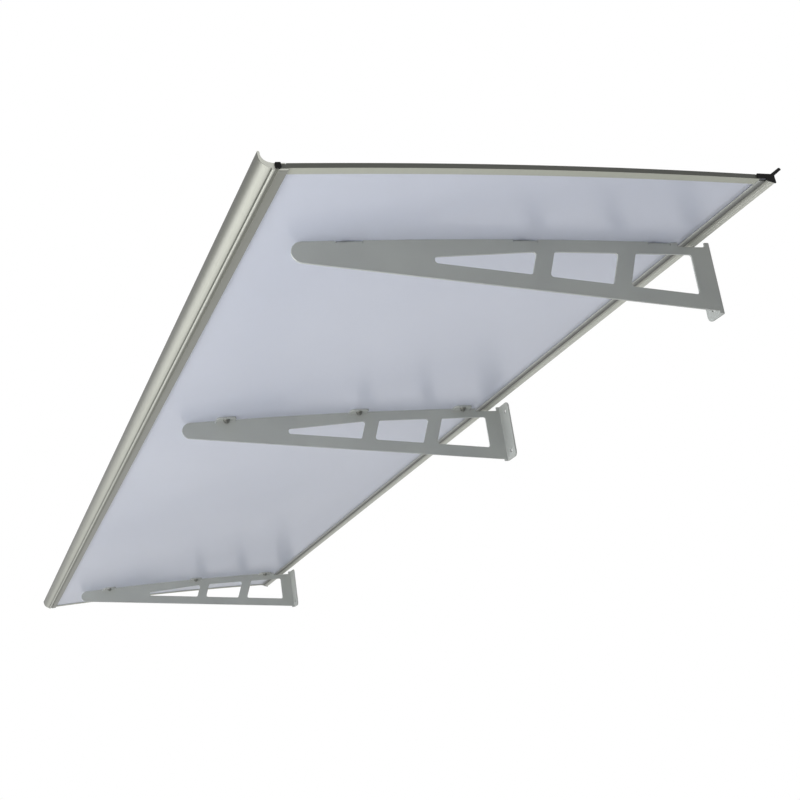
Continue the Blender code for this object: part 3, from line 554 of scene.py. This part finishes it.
for node, metal in (("front_profile", FRONT_PAINTED_METAL), ("rear_profile", REAR_PAINTED_METAL)):
    profile = eased_copy(node, f"{node}_extrusion", FINE_EDGE)
    dress(profile, node, "satin_aluminium", metal, SAWN, TOP_METAL)
    # Top faces take the plain top tone; the rest keeps its painted light and shade, and so does the
    # top of the front rim
    finish_faces(profile, 2, lambda face: (face.normal.z > TOP_FACING
                                           and face.center.y > FRONT_RIM_Y))
    finish_faces(profile, 1, lambda face: abs(face.normal.x) > END_FACING)

for node, material in (("front_gasket", SEAL), ("rear_gasket", STRIP_PAINTED_SHADE), ("rear_seal", SEAL)):
    dress(eased_copy(node, f"{node}_strip", FINE_EDGE), node, "black_rubber", material)

for side in ("right", "left"):
    node = f"side_trim_{side}"
    trim = eased_copy(node, f"{node}_channel", SOFT_EDGE)
    dress(trim, node, "grey_trim", TRIM_FLANGE, TRIM_WALL_PAINTED_SHADE)
    # Each trim's outer wall takes the darker copy, painted shade
    finish_faces(trim, 1, lambda face: (abs(face.normal.x) > WALL_FACING
                                        and abs(face.center.x) > HALF - TRIM_WALL_DEPTH))
    for node in (f"front_plug_{side}", f"rear_cap_{side}"):
        dress(eased_copy(node, f"{node}_moulding", SOFT_EDGE), node, "black_plastic", PLASTIC)


# Brackets
def roof_place(x, y):
    """A frame on the sheet's top face, its Z axis square to the sheet."""
    top = ROOF_HEIGHT - ROOF_RADIUS + math.sqrt(ROOF_RADIUS ** 2 - (y - ROOF_LEVEL_Y) ** 2)
    tilt = -math.asin((y - ROOF_LEVEL_Y) / ROOF_RADIUS)
    return Matrix.Translation((x, y, top)) @ Matrix.Rotation(tilt, 4, "X")


def level_tabs(side):
    """Lay the round corners of a bracket's ears and wall plate level with their faces."""
    line = SCREW_LINES[side]
    ear_face = -(SHEET_THICKNESS + GAP + PLATE)

    def level(mesh):
        for vertex in mesh.vertices:
            if abs(vertex.co.x - line) > PLATE_CORNERS and -PLATE < vertex.co.y < -PLATE / 2:
                vertex.co.y = -PLATE
        for y in SCREW_ROWS.values():
            ear = roof_place(line, y)
            from_root = ear.inverted()
            for vertex in mesh.vertices:
                point = from_root @ vertex.co
                in_corner = (EAR_CORNERS_X[0] < abs(point.x) < EAR_CORNERS_X[1]
                             and EAR_CORNERS_Y[0] < abs(point.y) < EAR_CORNERS_Y[1])
                if in_corner and ear_face < point.z < ear_face + EAR_SAG:
                    point.z = ear_face
                    vertex.co = ear @ point
    return level


for side in SCREW_LINES:
    node = f"bracket_{side}"
    bracket = eased_copy(node, f"{node}_folded", FOLDED_EDGE, weld=BRACKET_WELD,
                         level=level_tabs(side))
    dress(bracket, node, "grey_powder_coat", COAT)

# Roof fixings, each modelled once and copied to its nine places
UNDER_EAR = -(SHEET_THICKNESS + PLATE + 2 * GAP)
ON_SEAL = 2 * GAP + SEAL_THICKNESS
UNDER_HEAD = ON_SEAL + WASHER_THICKNESS + GAP
FIXINGS = (
    ("sealing_washer", "ring", GAP, "black_rubber", SEAL,
     ring("sealing_washer", SEAL_RADIUS, SEAL_THICKNESS, SEAL_RIMS)),
    ("cover_washer", "pressed", ON_SEAL, "stainless_steel", STAINLESS,
     ring("cover_washer", WASHER_RADIUS, WASHER_THICKNESS, WASHER_RIMS)),
    ("screw", "threaded", UNDER_HEAD, "stainless_steel", DARKENED_STEEL, model_screw()),
    ("nut", "flanged", UNDER_EAR, "stainless_steel", DARKENED_STEEL, model_nut()),
)
for node, word, height, slot, material, pattern in FIXINGS:
    shade(pattern, FIXING_SMOOTH_ANGLE)
    for side, x in SCREW_LINES.items():
        for row, y in SCREW_ROWS.items():
            label = f"{node}_{side}_{row}"
            mesh = pattern.data.copy()
            mesh.transform(roof_place(x, y) @ Matrix.Translation((0, 0, height)))
            fixing = bpy.data.objects.new(f"{label}_{word}", mesh)
            bpy.context.scene.collection.objects.link(fixing)
            dress(fixing, label, slot, material)
    bpy.data.objects.remove(pattern, do_unlink=True)

# Studio: a pale floor well below the canopy, soft lamps and a white surround
WHITE = (1, 1, 1, 1)
FLOOR_GLOW = 0.4
SURROUND_FILL = 0.32         # the white surround as a lamp, as a share of how it looks


def seen_rays(tree):
    """One where something is seen, plainly, mirrored or through the sheet, and nought elsewhere."""
    path = add_node(tree, "ShaderNodeLightPath")
    unveiled = add_node(tree, "ShaderNodeMath", {"operation": "MAXIMUM"},
                        {0: (path, "Is Camera Ray"), 1: (path, "Is Glossy Ray")})
    return add_node(tree, "ShaderNodeMath", {"operation": "MAXIMUM"},
                    {0: (unveiled, "Value"), 1: (path, "Is Transmission Ray")})


def build_floor():
    bpy.ops.mesh.primitive_plane_add(size=30.0, location=(0.0, -0.6, -2.2))
    floor = bpy.context.object
    floor.name = "studio_floor"
    material, tree, shader, place = new_material("pale_floor_paint")
    mottle = noise(tree, place, 1.5, 2.0)
    tone = ramp(tree, (mottle, "Fac"), [(0.3, "#eeeeec"), (0.7, "#f2f2f0")])
    # Wherever the paint is seen it is nearly white, and it still keeps the canopy's shadow
    glow = add_node(tree, "ShaderNodeMath", {"operation": "MULTIPLY"},
                    {0: (seen_rays(tree), "Value"), 1: FLOOR_GLOW})
    tree.links.new(glow.outputs["Value"], shader.inputs["Emission Strength"])
    shader.inputs["Emission Color"].default_value = WHITE
    shader.inputs["Roughness"].default_value = 0.9
    finish(tree, shader, tone)
    floor.data.materials.append(material)
    floor.select_set(False)


def build_world():
    world = bpy.data.worlds.new("white_surround")
    bpy.context.scene.world = world
    world.use_nodes = True
    tree = world.node_tree
    background = tree.nodes["Background"]
    seen = seen_rays(tree)
    strength = add_node(tree, "ShaderNodeMapRange", {},
                        {"Value": (seen, "Value"), "To Min": SURROUND_FILL, "To Max": 1.0})
    tree.links.new(strength.outputs["Result"], background.inputs["Strength"])
    background.inputs["Color"].default_value = WHITE


def build_lamp(name, location, target, size, power, below=False):
    """A softbox. One below the canopy is mirrored in it, but doesn't show through the sheet."""
    data = bpy.data.lights.new(name, "AREA")
    data.shape = "RECTANGLE"
    data.size, data.size_y = size
    data.energy = power
    lamp = bpy.data.objects.new(name, data)
    bpy.context.scene.collection.objects.link(lamp)
    lamp.location = location
    aim = Vector(target) - Vector(location)
    lamp.rotation_euler = aim.to_track_quat("-Z", "Y").to_euler()
    lamp.visible_camera = False
    lamp.visible_glossy = below
    lamp.visible_transmission = not below


build_floor()
build_world()
build_lamp("overhead_softbox", (0.0, -1.0, 3.0), (0, -0.4, 0), (5.0, 2.6), 88)
build_lamp("front_top_softbox", (0.3, -1.7, 1.6), (0.0, -0.7, 0.1), (5.0, 1.2), 45)
build_lamp("front_strip_softbox", (0.6, -2.3, -0.7), (0.4, -0.35, 0.08), (7.0, 1.0), 100, True)
build_lamp("low_strip_softbox", (0.6, -1.5, -0.9), (0.5, -0.5, 0.08), (5.0, 0.6), 22, True)

bpy.context.scene.view_settings.view_transform = "Standard"
